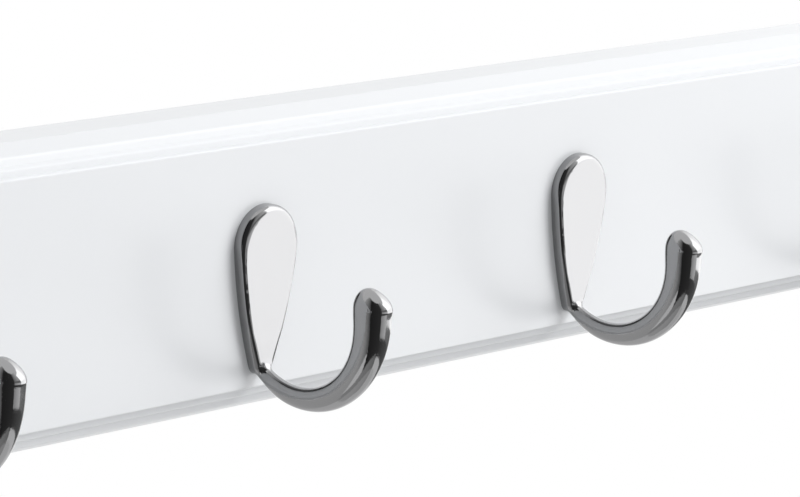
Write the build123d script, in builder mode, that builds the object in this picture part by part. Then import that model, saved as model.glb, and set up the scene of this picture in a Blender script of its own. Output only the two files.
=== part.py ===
"""Wall coat rack: a moulded, lacquered board with a row of cast single hooks.

Millimetres. The origin is the centre of the board's back face, which lies against the wall.
+X runs along the rail to the right, +Y points into the wall and +Z points up.
"""
import math
import os

from build123d import *

# Board
rail_length = 560.0
rail_height = 70.0
board_thickness = 18.0

# Moulding along the four front edges, in two small steps and a bead
moulding_height = 6.4
moulding_depth = 8.0
first_step_height = 1.75
first_step_depth = 1.45
bead_height = 4.1
bead_depth = 3.1
step_slope = 0.3
arris_radius = 0.5
root_radius = 0.1
bead_radius = 1.1
shoulder_radius = 1.0

# Row of hooks
hook_count = 5
end_margin = 60.0
eye_height = 5.5

# Backplate of a hook: an upper eye and a lower neck, joined by bowed sides
eye_radius = 9.1
neck_radius = 2.75
neck_drop = 28.0
side_radius = 120.0
plate_thickness = 3.1
plate_edge_radius = 1.25

# Bar of a hook, which leaves the neck and sweeps forward and up to its rounded tip
root_forward = 1.33
root_drop = 29.13
root_angle = -37.5
change_angle = 38.0
lower_radius = 21.2
upper_radius = 20.4
tip_straight = 4.2
tip_dome = 4.4
tip_lean = 16.0
tip_dome_angles = (25.0, 45.0, 60.0, 72.0, 82.0)
bar_width_root = 2.85
bar_width_tip = 7.25
bar_depth_root = 3.25
bar_depth_tip = 9.6
section_power = 2.3
section_points = 12
sections_per_arc = 4
neck_blend_radius = 3.0

# Boss and peg behind the plate, and the screw that draws the hook to the board
boss_radius = 4.0
boss_length = 7.0
tapped_depth = 7.0
peg_radius = 1.5
peg_length = 3.0
peg_drop = 20.0
socket_clearance = 0.3
screw_radius = 2.0
screw_length = 12.0
screw_head_radius = 4.0
screw_head_height = 2.6
screw_head_rounding = 1.1
thread_clearance = 0.1
shank_clearance = 0.25
head_clearance = 0.4
counterbore_depth = 4.5
drive_width = 1.0
drive_span = 4.6
drive_depth = 1.5

# Keyhole hangers, let into the back
hanger_height = 5.0
hanger_length = 44.0
hanger_width = 18.0
hanger_thickness = 1.6
hanger_clearance = 0.3
keyhole_entry_radius = 4.75
keyhole_slot_radius = 2.5
keyhole_travel = 10.0
pocket_radius = 6.2
pocket_depth = 8.0
hanger_screw_inset = 5.0
hanger_screw_radius = 1.5
hanger_screw_head_radius = 3.0
hanger_screw_length = 11.0
hanger_screw_point = 3.0

# Places that follow from the sizes above
hook_pitch = (rail_length - 2 * end_margin) / (hook_count - 1)
hook_positions = [end_margin - rail_length / 2 + i * hook_pitch for i in range(hook_count)]
hanger_positions = [hook_positions[0] + hook_pitch / 2, hook_positions[-1] - hook_pitch / 2]
entry_height = hanger_height - keyhole_travel / 2
hanger_screw_reach = hanger_length / 2 - hanger_screw_inset
hanger_screw_heights = [hanger_height - hanger_screw_reach, hanger_height + hanger_screw_reach]
back_plane = Plane.XZ
front_plane = Plane.XZ.offset(board_thickness)
hanger_seat_plane = Plane.XZ.offset(hanger_thickness)
counterbore_plane = Plane.XZ.offset(counterbore_depth)


# Board

def board_section(span):
    """Section of the board across one pair of edges: X runs across, Y back from the face."""
    edge = span / 2
    face = edge - moulding_height
    with BuildSketch(Plane.XY, mode=Mode.PRIVATE) as section:
        with BuildLine():
            FilletPolyline(
                (0, 0),
                (face, 0),
                (face + step_slope, first_step_depth - step_slope),
                (face + first_step_height, first_step_depth),
                (face + first_step_height + 2 * step_slope, bead_depth - 2 * step_slope),
                (face + bead_height, bead_depth),
                (edge, moulding_depth),
                (edge, board_thickness),
                radius=[arris_radius, root_radius, arris_radius, root_radius, bead_radius, shoulder_radius],
            )
            Polyline((edge, board_thickness), (0, board_thickness), (0, 0))
        make_face()
        mirror(about=Plane.YZ)
    return section.sketch


with BuildPart() as rail_board:
    with BuildSketch(Plane(origin=(0, -board_thickness, 0), x_dir=(0, 0, 1), z_dir=(-1, 0, 0))):
        add(board_section(rail_height))
    extrude(amount=rail_length / 2, both=True)
    with BuildSketch(Plane(origin=(0, -board_thickness, 0), x_dir=(1, 0, 0), z_dir=(0, 0, 1))):
        add(board_section(rail_length))
    extrude(amount=rail_height / 2, both=True, mode=Mode.INTERSECT)
    # Sockets for the boss and peg of each hook, sunk from the face
    with BuildSketch(front_plane):
        with Locations([(x, eye_height) for x in hook_positions]):
            Circle(boss_radius + socket_clearance)
    extrude(amount=-(boss_length + socket_clearance), mode=Mode.SUBTRACT)
    with BuildSketch(front_plane):
        with Locations([(x, eye_height - peg_drop) for x in hook_positions]):
            Circle(peg_radius + socket_clearance)
    extrude(amount=-(peg_length + socket_clearance), mode=Mode.SUBTRACT)
    # Clearance hole and counterbore for each hook's screw, from the back
    with BuildSketch(back_plane):
        with Locations([(x, eye_height) for x in hook_positions]):
            Circle(screw_radius + shank_clearance)
    extrude(amount=board_thickness, mode=Mode.SUBTRACT)
    with BuildSketch(back_plane):
        with Locations([(x, eye_height) for x in hook_positions]):
            Circle(screw_head_radius + head_clearance)
    extrude(amount=counterbore_depth, mode=Mode.SUBTRACT)
    # Seats for the hangers, pockets for the wall screws' heads and pilot holes
    with BuildSketch(back_plane):
        with Locations([(x, hanger_height) for x in hanger_positions]):
            SlotOverall(hanger_length + 2 * hanger_clearance, hanger_width + 2 * hanger_clearance, rotation=90)
    extrude(amount=hanger_thickness, mode=Mode.SUBTRACT)
    with BuildSketch(hanger_seat_plane):
        with Locations([(x, hanger_height) for x in hanger_positions]):
            SlotCenterToCenter(keyhole_travel, 2 * pocket_radius, rotation=90)
    extrude(amount=pocket_depth, mode=Mode.SUBTRACT)
    with BuildSketch(hanger_seat_plane):
        with Locations([(x, z) for x in hanger_positions for z in hanger_screw_heights]):
            Circle(hanger_screw_radius + thread_clearance)
    extrude(amount=hanger_screw_length, mode=Mode.SUBTRACT)


# Hook

def bar_section(forward, height, heading, width, depth):
    """Rounded section of the bar, between an ellipse and a rectangle, across its centre line."""
    place = Plane(
        origin=(0, -board_thickness - forward, eye_height + height),
        x_dir=(1, 0, 0),
        z_dir=(0, -math.cos(heading), math.sin(heading)),
    )
    power = 2 / section_power
    points = []
    for i in range(section_points):
        turn = 2 * math.pi * i / section_points
        across, along = math.cos(turn), math.sin(turn)
        points.append((width / 2 * math.copysign(abs(across) ** power, across),
                       depth / 2 * math.copysign(abs(along) ** power, along)))
    with BuildSketch(place, mode=Mode.PRIVATE) as section:
        with BuildLine():
            Spline(*points, periodic=True)
        make_face()
    return section.sketch


def swept_sections():
    """Sections of the bar from its root in the plate, round both arcs, to the foot of the dome."""
    root, change, up = math.radians(root_angle), math.radians(change_angle), math.radians(90)
    arcs = [(root, change, lower_radius), (change, up, upper_radius)]
    total = sum(radius * (end - start) for start, end, radius in arcs) + tip_straight
    forward, height, travelled = root_forward, -root_drop, 0
    sections = []
    for start, end, radius in arcs:
        centre_forward = forward - radius * math.sin(start)
        centre_height = height + radius * math.cos(start)
        for i in range(sections_per_arc):
            heading = start + (end - start) * i / sections_per_arc
            share = (travelled + radius * (heading - start)) / total
            sections.append(bar_section(
                centre_forward + radius * math.sin(heading),
                centre_height - radius * math.cos(heading),
                heading,
                bar_width_root + (bar_width_tip - bar_width_root) * share,
                bar_depth_root + (bar_depth_tip - bar_depth_root) * share,
            ))
        forward = centre_forward + radius * math.sin(end)
        height = centre_height - radius * math.cos(end)
        travelled += radius * (end - start)
    share = travelled / total
    sections.append(bar_section(forward, height, up,
                                bar_width_root + (bar_width_tip - bar_width_root) * share,
                                bar_depth_root + (bar_depth_tip - bar_depth_root) * share))
    sections.append(bar_section(forward, height + tip_straight, up, bar_width_tip, bar_depth_tip))
    return sections, forward, height + tip_straight


def dome_sections(forward, height):
    """Sections of the tip's dome, which shrink as it rises and lean forward."""
    sections = []
    for angle in (0, *tip_dome_angles):
        rise, shrink = math.sin(math.radians(angle)), math.cos(math.radians(angle))
        heading = math.radians(90 - tip_lean * rise)
        sections.append(bar_section(forward, height + tip_dome * rise, heading,
                                    bar_width_tip * shrink, bar_depth_tip * shrink))
    return sections


def side_ends():
    """Points at which a bowed side of the plate touches the circles of the eye and the neck."""
    to_eye, to_neck = side_radius - eye_radius, side_radius - neck_radius
    rise = (to_neck ** 2 - to_eye ** 2 - neck_drop ** 2) / (2 * neck_drop)
    across = math.sqrt(to_eye ** 2 - rise ** 2)
    neck_height = eye_height - neck_drop
    at_eye = (across * eye_radius / to_eye, eye_height - rise * eye_radius / to_eye)
    at_neck = (across * neck_radius / to_neck, neck_height - (rise + neck_drop) * neck_radius / to_neck)
    return at_eye, at_neck


bar_sections, tip_forward, tip_height = swept_sections()

with BuildPart() as hook:
    # Plate, with its front edge rounded
    (eye_x, eye_z), (neck_x, neck_z) = side_ends()
    with BuildSketch(front_plane):
        with BuildLine():
            ThreePointArc((-eye_x, eye_z), (0, eye_height + eye_radius), (eye_x, eye_z))
            RadiusArc((eye_x, eye_z), (neck_x, neck_z), side_radius)
            ThreePointArc((neck_x, neck_z), (0, eye_height - neck_drop - neck_radius), (-neck_x, neck_z))
            RadiusArc((-neck_x, neck_z), (-eye_x, eye_z), side_radius)
        make_face()
    extrude(amount=plate_thickness)
    fillet(hook.edges().group_by(Axis.Y)[0], radius=plate_edge_radius)
    # Bar, blended into the neck, then the dome of its tip
    plate_edges = hook.edges()
    add(bar_sections)
    loft()
    seams = (hook.edges() - plate_edges).filter_by(GeomType.BSPLINE)
    fillet(seams.filter_by_position(Axis.Y, -board_thickness - 2 * plate_thickness, -board_thickness),
           radius=neck_blend_radius)
    add(dome_sections(tip_forward, tip_height))
    loft()
    # Boss, tapped for the screw, and the peg that stops the hook turning
    with BuildSketch(front_plane):
        with Locations((0, eye_height)):
            Circle(boss_radius)
    extrude(amount=-boss_length)
    with BuildSketch(front_plane):
        with Locations((0, eye_height - peg_drop)):
            Circle(peg_radius)
    extrude(amount=-peg_length)
    with BuildSketch(front_plane.offset(-boss_length)):
        with Locations((0, eye_height)):
            Circle(screw_radius + thread_clearance)
    extrude(amount=tapped_depth, mode=Mode.SUBTRACT)


# Screws of the hooks: pan heads with a cross recess, seated in the counterbores

with BuildPart() as hook_screws:
    screw_places = [(x, eye_height) for x in hook_positions]
    with BuildSketch(counterbore_plane):
        with Locations(screw_places):
            Circle(screw_radius)
    extrude(amount=screw_length)
    with BuildSketch(counterbore_plane):
        with Locations(screw_places):
            Circle(screw_head_radius)
    extrude(amount=-screw_head_height)
    head_rims = hook_screws.edges().filter_by(GeomType.CIRCLE).group_by(Axis.Y)[-1]
    fillet(head_rims, radius=screw_head_rounding)
    with BuildSketch(counterbore_plane.offset(-screw_head_height)):
        with Locations(screw_places):
            Rectangle(drive_span, drive_width)
            Rectangle(drive_width, drive_span)
    extrude(amount=drive_depth, mode=Mode.SUBTRACT)


# Keyhole hanger: a stamped plate with a keyhole and two countersunk screw holes

with BuildPart() as hanger:
    with BuildSketch(back_plane):
        with Locations((0, hanger_height)):
            SlotOverall(hanger_length, hanger_width, rotation=90)
        with Locations((0, entry_height)):
            Circle(keyhole_entry_radius, mode=Mode.SUBTRACT)
        with Locations((0, hanger_height)):
            SlotCenterToCenter(keyhole_travel, 2 * keyhole_slot_radius, rotation=90, mode=Mode.SUBTRACT)
        with Locations([(0, z) for z in hanger_screw_heights]):
            Circle(hanger_screw_radius + thread_clearance, mode=Mode.SUBTRACT)
    extrude(amount=hanger_thickness)
    screw_rims = hanger.faces().sort_by(Axis.Y)[-1].inner_wires().sort_by(SortBy.LENGTH)[:2].edges()
    chamfer(screw_rims, length=hanger_screw_head_radius - hanger_screw_radius)


# Screws of the hangers: countersunk heads, flush with the plates

with BuildPart() as hanger_screws:
    for x in hanger_positions:
        for z in hanger_screw_heights:
            with BuildSketch(Plane(origin=(x, 0, z), x_dir=(1, 0, 0), z_dir=(0, 0, 1))):
                with BuildLine():
                    Polyline(
                        (0, 0),
                        (hanger_screw_head_radius, 0),
                        (hanger_screw_radius, hanger_screw_radius - hanger_screw_head_radius),
                        (hanger_screw_radius, hanger_screw_point - hanger_screw_length),
                        (0, -hanger_screw_length),
                        close=True,
                    )
                make_face()
            revolve(axis=Axis((x, 0, z), (0, 1, 0)))


# Files, one for each node

def write(piece, name):
    piece.label = name
    export_step(piece, f"parts/{name}.step")


os.makedirs("parts", exist_ok=True)
write(rail_board.part, "rail_board")
for i, x in enumerate(hook_positions):
    write(hook.part.moved(Location((x, 0, 0))), f"hook_{i + 1}")
write(hook_screws.part, "hook_screws")
for side, x in zip(("left", "right"), hanger_positions):
    write(hanger.part.moved(Location((x, 0, 0))), f"keyhole_plate_{side}")
write(hanger_screws.part, "keyhole_plate_screws")
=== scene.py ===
import math

import bmesh
import bpy
from bpy.props import FloatProperty, FloatVectorProperty, PointerProperty
from mathutils import Matrix, Vector


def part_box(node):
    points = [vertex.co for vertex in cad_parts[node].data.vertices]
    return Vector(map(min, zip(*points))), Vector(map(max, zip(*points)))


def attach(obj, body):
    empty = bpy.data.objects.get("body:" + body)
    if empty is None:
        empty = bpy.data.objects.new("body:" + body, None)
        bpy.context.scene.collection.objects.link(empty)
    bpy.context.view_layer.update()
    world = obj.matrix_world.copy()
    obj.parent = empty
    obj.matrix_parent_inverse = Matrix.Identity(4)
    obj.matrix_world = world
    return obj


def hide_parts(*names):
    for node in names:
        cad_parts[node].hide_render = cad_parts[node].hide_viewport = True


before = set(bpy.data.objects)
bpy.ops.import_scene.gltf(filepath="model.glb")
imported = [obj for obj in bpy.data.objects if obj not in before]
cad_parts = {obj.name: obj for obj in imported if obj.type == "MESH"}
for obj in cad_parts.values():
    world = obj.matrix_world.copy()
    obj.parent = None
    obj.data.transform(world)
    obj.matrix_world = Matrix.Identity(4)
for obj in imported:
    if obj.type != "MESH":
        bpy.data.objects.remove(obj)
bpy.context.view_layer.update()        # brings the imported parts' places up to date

bl_info = {
    "name": "Wall coat rack",
    "version": (1, 0, 0),
    "blender": (4, 5, 0),
    "location": "View3D > Sidebar > Coat rack",
    "description": "Finishes a moulded wall board and its row of cast chrome hooks",
    "category": "Object",
}

HOOK_NODES = sorted(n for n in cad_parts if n.startswith("hook_") and n != "hook_screws")
HANGER_NODES = ["keyhole_plate_left", "keyhole_plate_right"]
MM = 0.001
WHITE = (1, 1, 1, 1)


# Sizes and colours that a user would change

class FinishSettings(bpy.types.PropertyGroup):
    """Colours and textures of the finishes."""

    lacquer: FloatVectorProperty(
        name="Lacquer", description="Colour of the gloss lacquer on the board",
        subtype="COLOR", size=4, min=0, max=1, default=(0.795, 0.81, 0.83, 1))
    lacquer_shade: FloatVectorProperty(
        name="Lacquer, thin",
        description="Colour of the lacquer where the coat is a little thinner",
        subtype="COLOR", size=4, min=0, max=1, default=(0.77, 0.785, 0.805, 1))
    lacquer_ripple: FloatProperty(
        name="Lacquer ripple", description="Height of the faint waves in the lacquer",
        subtype="DISTANCE", unit="LENGTH", default=0.02 * MM, min=0)
    chrome: FloatVectorProperty(
        name="Chrome", description="Colour that the chrome plate gives its reflections",
        subtype="COLOR", size=4, min=0, max=1, default=(0.355, 0.355, 0.36, 1))
    steel: FloatVectorProperty(
        name="Zinc plate", description="Colour of the zinc plate on the screws and hangers",
        subtype="COLOR", size=4, min=0, max=1, default=(0.55, 0.57, 0.60, 1))


class RimSettings(bpy.types.PropertyGroup):
    """Rounding of the front edge of the hooks' plates."""

    top: FloatProperty(
        name="Rim at the eye", description="Rounding of the plate's front edge round its upper end",
        subtype="DISTANCE", unit="LENGTH", default=1.75 * MM, min=0.5 * MM, max=2.5 * MM)
    side: FloatProperty(
        name="Rim at the sides",
        description="Rounding of the plate's front edge along its lower sides",
        subtype="DISTANCE", unit="LENGTH", default=0.9 * MM, min=0.2 * MM, max=1.25 * MM)


class ScrewSettings(bpy.types.PropertyGroup):
    """Sizes of the screws' heads and of the cross recess that they are driven by."""

    drive_span: FloatProperty(
        name="Recess span", description="Width of the cross recess as a share of its head's",
        subtype="FACTOR", default=0.58, min=0.2, max=0.9)
    drive_width: FloatProperty(
        name="Recess wing", description="Thickness of the recess's wings as a share of its span",
        subtype="FACTOR", default=0.2, min=0.05, max=0.5)
    drive_depth: FloatProperty(
        name="Recess depth",
        description="Depth of the cross recess as a share of the head's radius",
        subtype="FACTOR", default=0.35, min=0.1, max=0.6)
    pan_radius: FloatProperty(
        name="Pan head radius", description="Radius of the heads of the hooks' screws",
        subtype="DISTANCE", unit="LENGTH", default=4.0 * MM, min=0)
    pan_height: FloatProperty(
        name="Pan head height", description="Height of the heads of the hooks' screws",
        subtype="DISTANCE", unit="LENGTH", default=2.6 * MM, min=0)
    flat_radius: FloatProperty(
        name="Flat head radius",
        description="Radius of the countersunk heads of the hangers' screws",
        subtype="DISTANCE", unit="LENGTH", default=3.0 * MM, min=0)


class StageSettings(bpy.types.PropertyGroup):
    """Place of the camera and strength of the lights."""

    aim_height: FloatProperty(
        name="Aim height",
        description="Height of the point on the board's face that the camera looks at",
        subtype="DISTANCE", unit="LENGTH", default=14.5 * MM)
    azimuth: FloatProperty(
        name="Azimuth", description="How far the camera stands round towards the left end",
        subtype="ANGLE", unit="ROTATION", default=math.radians(48.0))
    elevation: FloatProperty(
        name="Elevation", description="Tilt of the view down from level",
        subtype="ANGLE", unit="ROTATION", default=math.radians(12.23))
    roll: FloatProperty(
        name="Roll", description="Turn of the camera about its own line of sight",
        subtype="ANGLE", unit="ROTATION", default=math.radians(3.15))
    distance: FloatProperty(
        name="Distance", description="Distance from the camera to the point it looks at",
        subtype="DISTANCE", unit="LENGTH", default=979.4 * MM)
    aside: FloatProperty(
        name="Aside", description="How far the camera then moves to its right",
        subtype="DISTANCE", unit="LENGTH", default=31.37 * MM)
    below: FloatProperty(
        name="Below", description="How far the camera then moves down",
        subtype="DISTANCE", unit="LENGTH", default=8.48 * MM)
    lens: FloatProperty(
        name="Lens", description="Focal length of the lens",
        subtype="DISTANCE_CAMERA", unit="CAMERA", default=194.17)
    ambient: FloatProperty(
        name="Ambient", description="Strength of the even light from all round",
        subtype="FACTOR", default=0.45, min=0, soft_max=1)
    key: FloatProperty(
        name="Key light",
        description="Brightness of the softbox at the upper right, where white is 1",
        subtype="UNSIGNED", default=4.3, min=0)
    fill: FloatProperty(
        name="Fill light",
        description="Brightness of the low softbox at the right, where white is 1",
        subtype="UNSIGNED", default=3.0, min=0)
    top: FloatProperty(
        name="Top light",
        description="Brightness of the softbox above and behind, where white is 1",
        subtype="UNSIGNED", default=0.6, min=0)
    back: FloatProperty(
        name="Back light", description="Brightness of the softbox behind, where white is 1",
        subtype="UNSIGNED", default=2.0, min=0)


# Node trees

class Socket:
    """Wraps one output socket, so that maths on it adds Math nodes."""

    def __init__(self, tree, output):
        self.tree = tree
        self.output = output

    def math(self, operation, first, second):
        nodes = Nodes(self.tree, clear=False)
        return nodes.node("ShaderNodeMath", {"operation": operation}, {0: first, 1: second})

    def __add__(self, other):
        return self.math("ADD", self, other)

    __radd__ = __add__

    def __sub__(self, other):
        return self.math("SUBTRACT", self, other)

    def __rsub__(self, other):
        return self.math("SUBTRACT", other, self)

    def __mul__(self, other):
        return self.math("MULTIPLY", self, other)

    __rmul__ = __mul__

    def __truediv__(self, other):
        return self.math("DIVIDE", self, other)

    def maximum(self, other):
        return self.math("MAXIMUM", self, other)


class Nodes:
    """Builds one node tree, node by node."""

    def __init__(self, tree, clear=True):
        self.tree = tree
        if clear:
            tree.nodes.clear()

    def node(self, kind, settings=None, sockets=None, output=0):
        """Adds a node with its settings, then its sockets, and returns the output asked for."""
        node = self.tree.nodes.new(kind)
        for name, value in (settings or {}).items():
            setattr(node, name, value)
        for name, value in (sockets or {}).items():
            for one in value if isinstance(value, list) else [value]:
                if isinstance(one, Socket):
                    self.tree.links.new(one.output, node.inputs[name])
                else:
                    node.inputs[name].default_value = one
        return Socket(self.tree, node.outputs[output]) if node.outputs else None

    def noise(self, scale, detail):
        """Fixed noise through the piece, from 0 to 1."""
        place = self.node("ShaderNodeTexCoord", output="Object")
        return self.node("ShaderNodeTexNoise", {"noise_dimensions": "3D"},
                         {"Vector": place, "Scale": scale, "Detail": detail})

    def between(self, factor, low, high):
        """Value that goes from low to high as the factor goes from 0 to 1."""
        return low + (high - low) * factor

    def blend(self, factor, first, second):
        """Colour that goes from the first to the second as the factor goes from 0 to 1."""
        return self.node("ShaderNodeMix", {"data_type": "RGBA"},
                         {0: factor, 6: tuple(first), 7: tuple(second)}, output=2)

    def bump(self, height, distance):
        """Normal of a surface whose waves are as high as the distance given."""
        return self.node("ShaderNodeBump", None, {"Height": height, "Distance": distance})


def new_material(name):
    """Material with an empty node tree, and the builder of that tree."""
    material = bpy.data.materials.new(name)
    material.use_nodes = True
    return material, Nodes(material.node_tree)


def give(piece, material):
    """Makes a material the only one of a piece."""
    piece.data.materials.clear()
    piece.data.materials.append(material)


# Finishes

CHROME_WAVE = 0.01 * MM      # height of the waves that polishing leaves
STEEL_GRAIN = 0.01 * MM      # height of the grain of rolled sheet
STEEL_SHADE = 0.82           # brightness of the duller spangles, as a share of the bright ones


def lacquer_material(finish):
    """White gloss lacquer on fibreboard, with a faint ripple."""
    material, nodes = new_material("white_gloss_lacquer")
    cover = nodes.noise(scale=14.0, detail=3.0)
    haze = nodes.noise(scale=35.0, detail=3.0)
    ripple = nodes.noise(scale=90.0, detail=1.0)
    shader = nodes.node("ShaderNodeBsdfPrincipled", None, {
        "Base Color": nodes.blend(cover, finish.lacquer, finish.lacquer_shade),
        "Roughness": nodes.between(haze, 0.30, 0.40),
        "Coat Weight": 0.2,
        "Coat Roughness": 0.14,
        "Normal": nodes.bump(ripple, finish.lacquer_ripple),
    })
    nodes.node("ShaderNodeOutputMaterial", None, {"Surface": shader})
    return material


def chrome_material(finish):
    """Bright chrome plate over a polished casting, with a trace of polishing haze."""
    material, nodes = new_material("chrome_plate")
    haze = nodes.noise(scale=260.0, detail=3.0)
    wave = nodes.noise(scale=120.0, detail=1.0)
    shader = nodes.node("ShaderNodeBsdfPrincipled", None, {
        "Base Color": tuple(finish.chrome),
        "Metallic": 1.0,
        "Roughness": nodes.between(haze, 0.07, 0.12),
        "Normal": nodes.bump(wave, CHROME_WAVE),
    })
    nodes.node("ShaderNodeOutputMaterial", None, {"Surface": shader})
    return material


def steel_material(finish):
    """Bright zinc plate with the cloudy spangle and fine grain of stamped sheet."""
    material, nodes = new_material("zinc_plated_steel")
    spangle = nodes.noise(scale=150.0, detail=2.0)
    grain = nodes.noise(scale=900.0, detail=3.0)
    shade = tuple(STEEL_SHADE * part for part in finish.steel[:3]) + (1.0,)
    shader = nodes.node("ShaderNodeBsdfPrincipled", None, {
        "Base Color": nodes.blend(spangle, finish.steel, shade),
        "Metallic": 1.0,
        "Roughness": nodes.between(spangle, 0.22, 0.42),
        "Normal": nodes.bump(grain, STEEL_GRAIN),
    })
    nodes.node("ShaderNodeOutputMaterial", None, {"Surface": shader})
    return material


# Hooks. Their castings keep the solids' form, apart from the front edge of the plate. The solids
# round it by one radius, and the real edge is fuller round the eye and crisper along the sides.

RIM_CAST = 1.25 * MM                # rounding of the front edge in the solids
RIM_NECK = -18 * MM                 # height up to which that rounding stays
RIM_LOW = -15 * MM                  # height from which the edge is crisp
RIM_MIDDLE = 1 * MM                 # height up to which it is crisp
RIM_HIGH = 9 * MM                   # height from which it is full
RIM_REACH = RIM_CAST * 1.01         # how far in from the outline the rounding can lie
RIM_SLACK = 0.002 * MM              # how far off its plane a point may lie
RIM_MATCH = 0.01 * MM               # how far off the rounding a point of it may lie
EYE_BAND = 4 * MM                   # half the height of the band where the plate's face is found
EDGE_INSET = 0.02 * MM              # a point nearer the outline than this turns to the middle
PLATE_CENTRE = Vector((0, -6 * MM)) # a point inside the outline that sees all of it
FAR = 1.0                           # a height beyond either end of the plate
SAME_DIGITS = 7                     # decimals to which two points of the outline are told apart
NO_LENGTH = 1e-18                   # keeps the division by an edge's length from failing
MERGE_GAP = 0.001 * MM              # points closer than this are joined
SOLID_NORMAL = "solid_normal"       # corner attribute that holds the normals of a solid


def joined_copy(mesh):
    """Copy of a solid's mesh with its triangles joined and its normals noted at their corners."""
    joined = mesh.copy()
    normals = [part for corner in mesh.corner_normals for part in corner.vector]
    noted = joined.attributes.new(SOLID_NORMAL, "FLOAT_VECTOR", "CORNER")
    noted.data.foreach_set("vector", normals)
    shape = bmesh.new()
    shape.from_mesh(joined)
    bmesh.ops.remove_doubles(shape, verts=shape.verts, dist=MERGE_GAP)
    shape.to_mesh(joined)
    shape.free()
    return joined


def restore_normals(mesh):
    """Shades a joined copy by the normals of its solid."""
    noted = mesh.attributes[SOLID_NORMAL]
    normals = [tuple(corner.vector) for corner in noted.data]
    mesh.attributes.remove(noted)
    mesh.normals_split_custom_set(normals)


def rim_radius(height, rim):
    """Rounding of the front edge of a plate at a height, eased from one stop to the next."""
    stops = ((-FAR, RIM_CAST), (RIM_NECK, RIM_CAST), (RIM_LOW, rim.side), (RIM_MIDDLE, rim.side),
             (RIM_HIGH, rim.top), (FAR, rim.top))
    for (low, start), (high, end) in zip(stops, stops[1:]):
        if height <= high:
            share = (height - low) / (high - low)
            return start + (end - start) * share * share * (3 - 2 * share)
    return rim.top


def plate_outline(points, middle, wall):
    """Outline of a hook's plate: the points of its mesh where the rim leaves the wall, in order."""
    rim = {(round(p.x - middle, SAME_DIGITS), round(p.z, SAME_DIGITS))
           for p in points if abs(p.y - wall) < RIM_SLACK}
    return sorted((Vector(p) for p in rim),
                  key=lambda p: math.atan2(p.y - PLATE_CENTRE.y, p.x - PLATE_CENTRE.x))


def nearest(outline, point):
    """Nearest place on a closed outline to a point inside it."""
    best = None
    for first, second in zip(outline, outline[1:] + outline[:1]):
        along = second - first
        share = (point - first).dot(along) / max(along.length_squared, NO_LENGTH)
        place = first + along * min(max(share, 0), 1)
        if best is None or (place - point).length < (best - point).length:
            best = place
    return best


def ease_rim(mesh, middle, rim):
    """Moves the front edge of a hook's plate to the rounding that the real casting shows."""
    front = min(v.co.y for v in mesh.vertices
                if abs(v.co.z - RIM_HIGH) < EYE_BAND and v.co.x < middle)
    wall = front + RIM_CAST
    outline = plate_outline([v.co for v in mesh.vertices], middle, wall)
    for vertex in mesh.vertices:
        depth = wall - vertex.co.y
        if not -RIM_SLACK < depth < RIM_CAST + RIM_SLACK or vertex.co.z < RIM_NECK:
            continue
        point = Vector((vertex.co.x - middle, vertex.co.z))
        place = nearest(outline, point)
        inset = (place - point).length
        off = abs(math.hypot(RIM_CAST - inset, depth) - RIM_CAST)
        if off > RIM_MATCH or inset > RIM_REACH:
            continue
        turn = math.atan2(depth, max(RIM_CAST - inset, 0))
        radius = rim_radius(vertex.co.z, rim)
        target = point if inset > EDGE_INSET else Vector((0, place.y))
        eased = place + (target - place).normalized() * radius * (1 - math.cos(turn))
        vertex.co = (middle + eased.x, front + radius * (1 - math.sin(turn)), eased.y)
    mesh.update()


def stand_in(piece, node_name):
    """Makes a piece ride on the rack in the place of a solid."""
    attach(piece, "root")
    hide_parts(node_name)


# Screws

SIZE_NAMES = ("Head radius", "Head height", "Shank radius", "Shank length", "Recess top",
              "Recess span", "Recess wing", "Recess depth", "Columns apart", "Rows apart")
COUNT_NAMES = ("Columns", "Rows")
SIDES = 48               # sides of a head and of a shank
RINGS = 6                # rings on top of a pan head, which its dome bends
DOME = 0.45              # share of a pan head's height that its rim falls by
BURIED = 0.2             # share of a head's height that the shank runs up into it
POINT_LENGTH = 2.0       # length of a screw's point, in radii of its shank
POINT_RADIUS = 0.02 * MM # radius of the blunt end of that point
WING_TOP = 0.707         # from the middle to the corners of a wing of span 1 at its cutter's top
WING_FLOOR = 0.45        # and at its floor, as the wing tapers
QUARTER = math.radians(90)
EIGHTH = math.radians(45)
SCREW_CREASE = math.radians(30)


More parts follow.
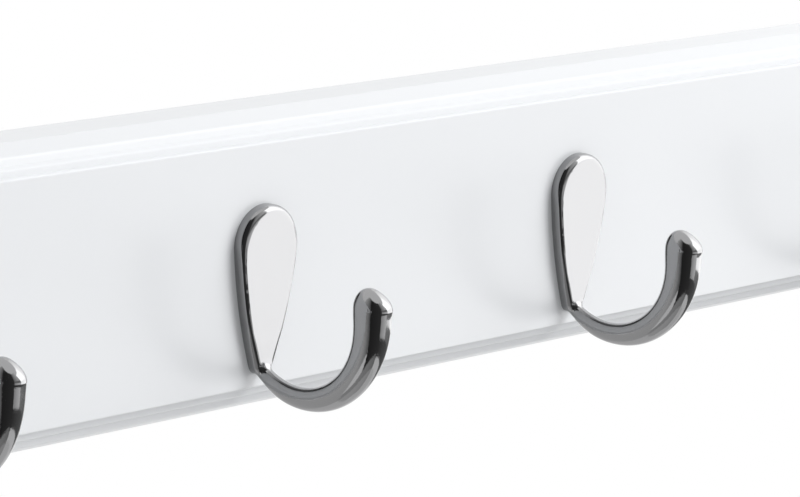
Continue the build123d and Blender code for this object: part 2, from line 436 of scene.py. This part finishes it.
class ScrewTree:
    """Node group that makes one screw and repeats it in columns and rows."""

    def __init__(self, name, shape):
        self.tree = bpy.data.node_groups.new(name, "GeometryNodeTree")
        self.declare()
        self.nodes = Nodes(self.tree)
        self.given = self.nodes.node("NodeGroupInput").output.node
        blank = self.pan_head() if shape == "pan" else self.countersunk()
        screw = self.boolean("DIFFERENCE", [blank], self.recess())
        self.repeat(screw)

    def declare(self):
        """Names the inputs and the output of the group."""
        face = self.tree.interface
        face.new_socket("Geometry", in_out="OUTPUT", socket_type="NodeSocketGeometry")
        for name in SIZE_NAMES:
            size = face.new_socket(name, in_out="INPUT", socket_type="NodeSocketFloat")
            size.subtype = "DISTANCE"
        for name in COUNT_NAMES:
            face.new_socket(name, in_out="INPUT", socket_type="NodeSocketInt")
        face.new_socket("Centre", in_out="INPUT", socket_type="NodeSocketVector")
        face.new_socket("Finish", in_out="INPUT", socket_type="NodeSocketMaterial")

    def size(self, name):
        """Input of the group."""
        return Socket(self.tree, self.given.outputs[name])

    def vector(self, x=0.0, y=0.0, z=0.0):
        """Vector made of three values."""
        return self.nodes.node("ShaderNodeCombineXYZ", None, {"X": x, "Y": y, "Z": z})

    def changed(self, shape, **changes):
        """Shape after a Translation, a Rotation or a Scale."""
        return self.nodes.node("GeometryNodeTransform", None, {"Geometry": shape, **changes})

    def boolean(self, operation, first, second):
        """Bodies joined, or the second list cut from the first."""
        joins = operation == "UNION"
        sockets = {"Mesh 2": first + second} if joins else {"Mesh 1": first, "Mesh 2": second}
        return self.nodes.node("GeometryNodeMeshBoolean",
                               {"operation": operation, "solver": "EXACT"}, sockets)

    def cylinder(self, radius, length, bottom, rings=1):
        """Upright cylinder that stands on a height."""
        body = self.nodes.node("GeometryNodeMeshCylinder", {"fill_type": "TRIANGLE_FAN"}, {
            "Vertices": SIDES, "Side Segments": 1, "Fill Segments": rings,
            "Radius": radius, "Depth": length})
        return self.changed(body, Translation=self.vector(z=bottom + length * 0.5))

    def cone(self, top, floor, length, bottom, sides=SIDES):
        """Upright cone with the two radii given, which stands on a height."""
        body = self.nodes.node("GeometryNodeMeshCone", {"fill_type": "TRIANGLE_FAN"}, {
            "Vertices": sides, "Radius Top": top, "Radius Bottom": floor, "Depth": length})
        return self.changed(body, Translation=self.vector(z=bottom))

    def pan_head(self):
        """Domed head above height 0, and its shank below."""
        radius, height = self.size("Head radius"), self.size("Head height")
        head = self.cylinder(radius, height, 0.0, RINGS)
        place = self.nodes.node("GeometryNodeInputPosition")
        split = self.nodes.node("ShaderNodeSeparateXYZ", None, {"Vector": place}).output.node
        x, y, z = (Socket(self.tree, part) for part in split.outputs)
        outward = (x * x + y * y) / (radius * radius)
        domed = self.nodes.node("GeometryNodeSetPosition", None, {
            "Geometry": head, "Offset": self.vector(z=outward * outward * z * -DOME)})
        length = self.size("Shank length")
        shank = self.cylinder(self.size("Shank radius"), length + BURIED * height, 0.0 - length)
        return self.boolean("UNION", [domed], [shank])

    def countersunk(self):
        """Head whose flat top is at height 0, with its shank and point below."""
        radius, height = self.size("Shank radius"), self.size("Head height")
        lowest = 0.0 - self.size("Shank length")
        head = self.cone(self.size("Head radius"), radius, height, 0.0 - height)
        point = POINT_LENGTH * radius
        bottom = lowest + point
        shank = self.cylinder(radius, 0.0 - bottom - (1.0 - BURIED) * height, bottom)
        tip = self.cone(radius, POINT_RADIUS, point, lowest)
        return self.boolean("UNION", [head], [shank, tip])

    def recess(self):
        """Two tapered wings that cross, sunk from the top of the head."""
        depth = self.size("Recess depth")
        bottom = self.size("Recess top") - depth
        wing = self.cone(WING_TOP, WING_FLOOR, depth * 2.0, bottom, sides=4)
        square = self.changed(wing, Rotation=(0, 0, EIGHTH))
        shape = self.vector(self.size("Recess span"), self.size("Recess wing"), 1.0)
        first = self.changed(square, Scale=shape)
        second = self.changed(first, Rotation=(0, 0, QUARTER))
        return [first, second]

    def repeat(self, screw):
        """Screws in columns and rows, turned to point into the board from behind."""
        columns, rows = self.size("Columns"), self.size("Rows")
        grid = self.nodes.node("GeometryNodeMeshGrid", None, {
            "Size X": self.size("Columns apart") * (columns - 1.0), "Vertices X": columns,
            "Size Y": self.size("Rows apart") * (rows - 1.0), "Vertices Y": rows})
        many = self.nodes.node("GeometryNodeInstanceOnPoints", None,
                               {"Points": grid, "Instance": screw})
        turned = self.changed(many, Translation=self.size("Centre"), Rotation=(-QUARTER, 0, 0))
        real = self.nodes.node("GeometryNodeRealizeInstances", None, {"Geometry": turned})
        finished = self.nodes.node("GeometryNodeSetMaterial", None,
                                   {"Geometry": real, "Material": self.size("Finish")})
        self.nodes.node("NodeGroupOutput", None, {"Geometry": finished})


def screw_piece(name, shape, sizes):
    """Plain mesh of a set of screws, from the sizes that their node group takes."""
    group = ScrewTree(name, shape).tree
    piece = bpy.data.objects.new(name, bpy.data.meshes.new(name + "_seed"))
    bpy.context.scene.collection.objects.link(piece)
    modifier = piece.modifiers.new("screws", "NODES")
    modifier.node_group = group
    for item in group.interface.items_tree:
        if item.in_out == "INPUT":
            modifier[item.identifier] = sizes[item.name]
    graph = bpy.context.evaluated_depsgraph_get()
    mesh = bpy.data.meshes.new_from_object(piece.evaluated_get(graph), depsgraph=graph)
    piece.modifiers.clear()
    piece.data = mesh
    mesh.polygons.foreach_set("use_smooth", [True] * len(mesh.polygons))
    mesh.set_sharp_from_angle(angle=SCREW_CREASE)
    return piece


def fit_screws(node_name, shape, settings, finish, sizes):
    """Makes a set of screws that fills the box of the solids that it replaces."""
    low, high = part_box(node_name)
    span = 2 * sizes["Head radius"]
    above = sizes["Head height"] if shape == "pan" else 0.0
    sizes["Recess top"] = above
    sizes["Recess span"] = span * settings.drive_span
    sizes["Recess wing"] = sizes["Recess span"] * settings.drive_width
    sizes["Recess depth"] = settings.drive_depth * sizes["Head radius"]
    sizes["Shank length"] = high[1] - low[1] - above
    sizes["Columns apart"] = (high[0] - low[0] - span) / max(sizes["Columns"] - 1, 1)
    sizes["Rows apart"] = (high[2] - low[2] - span) / max(sizes["Rows"] - 1, 1)
    sizes["Centre"] = ((low[0] + high[0]) / 2, high[1] - above, (low[2] + high[2]) / 2)
    sizes["Finish"] = finish
    stand_in(screw_piece(node_name.replace("_screws", "_cross_screws"), shape, sizes),
             node_name)


# Operators

class RACK_OT_board(bpy.types.Operator):
    """Finish the moulded board in white lacquer"""
    bl_idname = "coat_rack.board"
    bl_label = "Finish the board"

    def execute(self, context):
        give(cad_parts["rail_board"], lacquer_material(context.scene.rack_finish))
        return {"FINISHED"}


class RACK_OT_hooks(bpy.types.Operator):
    """Make the cast hooks in polished chrome"""
    bl_idname = "coat_rack.hooks"
    bl_label = "Make the hooks"

    def execute(self, context):
        chrome = chrome_material(context.scene.rack_finish)
        for name in HOOK_NODES:
            low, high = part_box(name)
            mesh = joined_copy(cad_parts[name].data)
            casting = bpy.data.objects.new(name + "_casting", mesh)
            context.scene.collection.objects.link(casting)
            ease_rim(mesh, (low[0] + high[0]) / 2, context.scene.rack_rim)
            restore_normals(mesh)
            give(casting, chrome)
            stand_in(casting, name)
        return {"FINISHED"}


class RACK_OT_hangers(bpy.types.Operator):
    """Finish the keyhole plates on the back in zinc plate"""
    bl_idname = "coat_rack.hangers"
    bl_label = "Finish the hangers"

    def execute(self, context):
        steel = steel_material(context.scene.rack_finish)
        for name in HANGER_NODES:
            give(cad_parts[name], steel)
        return {"FINISHED"}


class RACK_OT_screws(bpy.types.Operator):
    """Make the screws behind the hooks and on the keyhole plates"""
    bl_idname = "coat_rack.screws"
    bl_label = "Make the screws"

    def execute(self, context):
        screws = context.scene.rack_screws
        steel = steel_material(context.scene.rack_finish)
        fit_screws("hook_screws", "pan", screws, steel, {
            "Head radius": screws.pan_radius, "Head height": screws.pan_height,
            "Shank radius": screws.pan_radius / 2, "Columns": len(HOOK_NODES), "Rows": 1})
        fit_screws("keyhole_plate_screws", "countersunk", screws, steel, {
            "Head radius": screws.flat_radius, "Head height": screws.flat_radius / 2,
            "Shank radius": screws.flat_radius / 2, "Columns": len(HANGER_NODES), "Rows": 2})
        return {"FINISHED"}


class RACK_OT_stage(bpy.types.Operator):
    """Set up the floor, the lights and the camera"""
    bl_idname = "coat_rack.stage"
    bl_label = "Set up the stage"

    def execute(self, context):
        stage = context.scene.rack_stage
        add_world(context.scene, stage)
        add_floor()
        for name, setting, *place in SOFTBOXES:
            add_softbox(name, getattr(stage, setting), *place)
        for order, card in enumerate(CARDS):
            add_card(*card, CARD_DISTANCE - CARD_SPACING * order)
        add_camera(context.scene, stage)
        return {"FINISHED"}


# Stage

SEES_BACKDROP = ("Is Camera Ray", "Is Glossy Ray", "Is Transmission Ray")
FLOOR_HEIGHT = -5.5      # in metres, low enough that the rack can be looked at from below
FLOOR_HALF = 12.0        # half the floor's side
FLOOR_COLOUR = (0.85, 0.85, 0.85, 1)
CARD_DISTANCE = 1.6      # from the rack to the farthest card
CARD_SPACING = 0.005     # from one card to the next in front of it
CARD_STEPS = 24          # faces along each side of a card
SENSOR_WIDTH = 36.0      # in millimetres
NEAREST_SEEN = 0.05
FARTHEST_SEEN = 100.0

# Softboxes, which light the rack and aren't seen in it: their setting, azimuth in degrees from +X
# towards +Y, elevation in degrees, and distance, width and height in metres.
SOFTBOXES = (
    ("key_softbox", "key", 316, 39, 10.0, 8.0, 8.0),
    ("low_softbox", "fill", 315, -20, 4.0, 3.0, 0.9),
    ("top_softbox", "top", 45, 65, 4.0, 2.0, 2.0),
    ("back_softbox", "back", 120, 5, 4.0, 3.0, 3.0),
)

# Cards and drapes, which are seen in the gloss of the rack and don't light it: azimuths and
# elevations of their edges in degrees, and brightness at the first and the second azimuth. Each
# one hangs a little in front of those before it.
CARDS = (
    ("pale_cloth", (0, 360), (-88, -52), (0.85, 0.85)),
    ("grey_cloth", (150, 262), (-80, -52), (0.65, 0.50)),
    ("back_cloth", (60, 150), (-52, -14), (0.85, 0.62)),
    ("black_drape", (178, 258), (-38, 66), (0.03, 0.06)),
    ("left_wing", (148, 178), (-27, 68), (0.60, 0.12)),
    ("left_apron", (150, 262), (-52, -38), (0.48, 0.28)),
    ("front_scrim", (258, 306), (24, 64), (0.25, 0.90)),
    ("front_flag", (258, 306), (6, 24), (0.25, 0.30)),
    ("front_table", (258, 306), (-24, 6), (0.50, 1.00)),
    ("low_flag", (252, 370), (-40, -24), (0.05, 0.20)),
    ("right_flag", (306, 372), (-24, -16), (0.40, 0.20)),
    ("right_softbox", (306, 350), (-16, 16), (2.25, 2.45)),
    ("high_softbox", (306, 350), (16, 52), (3.10, 2.90)),
    ("right_wing", (350, 400), (-16, 52), (2.40, 1.00)),
)


def seen_directly(nodes):
    """One where the camera, a metal or a glass looks straight at a surface, and zero elsewhere."""
    path = nodes.node("ShaderNodeLightPath").output.node
    camera, glossy, through = (Socket(nodes.tree, path.outputs[name]) for name in SEES_BACKDROP)
    return camera.maximum(glossy).maximum(through)


def add_world(scene, stage):
    """White surroundings for camera and gloss, and an even light for everything else."""
    world = bpy.data.worlds.new("studio")
    scene.world = world
    world.use_nodes = True
    nodes = Nodes(world.node_tree)
    light = nodes.node("ShaderNodeBackground", None, {"Color": WHITE, "Strength": stage.ambient})
    backdrop = nodes.node("ShaderNodeBackground", None, {"Color": WHITE, "Strength": 1.0})
    surface = nodes.node("ShaderNodeMixShader", None,
                         {0: seen_directly(nodes), 1: light, 2: backdrop})
    nodes.node("ShaderNodeOutputWorld", None, {"Surface": surface})


def add_stage_mesh(name, points, faces):
    """Piece of the studio that is no part of the rack."""
    mesh = bpy.data.meshes.new(name)
    mesh.from_pydata(points, [], faces)
    piece = bpy.data.objects.new(name, mesh)
    bpy.context.scene.collection.objects.link(piece)
    return piece


def add_floor():
    """Pale floor, well below the rack, which the camera and the gloss see as white."""
    signs = ((-1, -1), (1, -1), (1, 1), (-1, 1))
    corners = [(x * FLOOR_HALF, y * FLOOR_HALF, FLOOR_HEIGHT) for x, y in signs]
    floor = add_stage_mesh("floor", corners, [(0, 1, 2, 3)])
    material, nodes = new_material("pale_floor")
    matt = nodes.node("ShaderNodeBsdfDiffuse", None, {"Color": FLOOR_COLOUR})
    lit = nodes.node("ShaderNodeEmission", None, {"Color": WHITE, "Strength": 1.0})
    surface = nodes.node("ShaderNodeMixShader", None, {0: seen_directly(nodes), 1: matt, 2: lit})
    nodes.node("ShaderNodeOutputMaterial", None, {"Surface": surface})
    give(floor, material)


def heading(azimuth, elevation, distance):
    """Point at a distance from the origin, with the azimuth turned from +X towards +Y."""
    flat = distance * math.cos(elevation)
    return flat * math.cos(azimuth), flat * math.sin(azimuth), distance * math.sin(elevation)


def add_softbox(name, strength, azimuth, elevation, distance, width, height):
    """Softbox that lights the rack with the brightness given, where white is 1."""
    data = bpy.data.lights.new(name, "AREA")
    data.shape = "RECTANGLE"
    data.size = width
    data.size_y = height
    data.energy = strength * width * height * math.pi
    light = bpy.data.objects.new(name, data)
    centre = Vector(heading(math.radians(azimuth), math.radians(elevation), distance))
    towards_rack = (-centre).to_track_quat("-Z", "Y").to_matrix().to_4x4()
    light.matrix_world = Matrix.Translation(centre) @ towards_rack
    light.visible_camera = False
    light.visible_glossy = False
    bpy.context.scene.collection.objects.link(light)


def add_card(name, turns, levels, strengths, distance):
    """Card bent round the rack, whose brightness changes evenly from one edge to the other."""
    start, end = (math.radians(turn) for turn in turns)
    low, high = (math.radians(level) for level in levels)
    row = CARD_STEPS + 1
    points, shares = [], []
    for i in range(row):
        for j in range(row):
            across, up = i / CARD_STEPS, j / CARD_STEPS
            points.append(heading(start + (end - start) * across,
                                  low + (high - low) * up, distance))
            shares.append(across)
    faces = [(row * i + j, row * i + j + 1, row * (i + 1) + j + 1, row * (i + 1) + j)
             for i in range(CARD_STEPS) for j in range(CARD_STEPS)]
    card = add_stage_mesh(name, points, faces)
    card.data.attributes.new("across", "FLOAT", "POINT").data.foreach_set("value", shares)
    material, nodes = new_material(name)
    across = nodes.node("ShaderNodeAttribute", {"attribute_name": "across"}, output="Fac")
    first, second = ((strength, strength, strength, 1) for strength in strengths)
    glow = nodes.blend(across, first, second)
    surface = nodes.node("ShaderNodeEmission", None, {"Color": glow, "Strength": 1.0})
    nodes.node("ShaderNodeOutputMaterial", None, {"Surface": surface})
    give(card, material)
    card.visible_camera = False
    card.visible_diffuse = False
    card.visible_shadow = False


def add_camera(scene, stage):
    """Camera at the photograph's view of the board's face."""
    aim = Vector((0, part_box("rail_board")[0][1], stage.aim_height))
    flat, drop = math.cos(stage.elevation), math.sin(stage.elevation)
    sight = Vector((math.sin(stage.azimuth) * flat, math.cos(stage.azimuth) * flat, -drop))
    across = Vector((math.cos(stage.azimuth), -math.sin(stage.azimuth), 0))
    rise = across.cross(sight)
    place = aim - sight * stage.distance + across * stage.aside - rise * stage.below
    right = across * math.cos(stage.roll) + rise * math.sin(stage.roll)
    up = rise * math.cos(stage.roll) - across * math.sin(stage.roll)
    turn = Matrix((right, up, -sight)).transposed().to_4x4()
    data = bpy.data.cameras.new("camera")
    data.lens = stage.lens
    data.sensor_width = SENSOR_WIDTH
    data.clip_start = NEAREST_SEEN
    data.clip_end = FARTHEST_SEEN
    camera = bpy.data.objects.new("camera", data)
    camera.matrix_world = Matrix.Translation(place) @ turn
    scene.collection.objects.link(camera)
    scene.camera = camera
    scene.view_settings.view_transform = "Standard"


# Panel and registration

class RACK_PT_sidebar(bpy.types.Panel):
    """Steps and settings of the coat rack"""
    bl_label = "Coat rack"
    bl_idname = "RACK_PT_sidebar"
    bl_space_type = "VIEW_3D"
    bl_region_type = "UI"
    bl_category = "Coat rack"

    def draw(self, context):
        for group in SETTINGS:
            settings = getattr(context.scene, group)
            for name in settings.__annotations__:
                self.layout.prop(settings, name)
        for operator in OPERATORS:
            self.layout.operator(operator.bl_idname)


OPERATORS = (RACK_OT_board, RACK_OT_hooks, RACK_OT_hangers, RACK_OT_screws, RACK_OT_stage)
SETTINGS = {"rack_finish": FinishSettings, "rack_rim": RimSettings,
            "rack_screws": ScrewSettings, "rack_stage": StageSettings}
CLASSES = tuple(SETTINGS.values()) + OPERATORS + (RACK_PT_sidebar,)


def register():
    for item in CLASSES:
        bpy.utils.register_class(item)
    for name, settings in SETTINGS.items():
        setattr(bpy.types.Scene, name, PointerProperty(type=settings))


def unregister():
    for name in SETTINGS:
        delattr(bpy.types.Scene, name)
    for item in reversed(CLASSES):
        bpy.utils.unregister_class(item)


def main():
    register()
    bpy.ops.coat_rack.board()
    bpy.ops.coat_rack.hooks()
    bpy.ops.coat_rack.hangers()
    bpy.ops.coat_rack.screws()
    bpy.ops.coat_rack.stage()


if __name__ == "__main__":
    main()
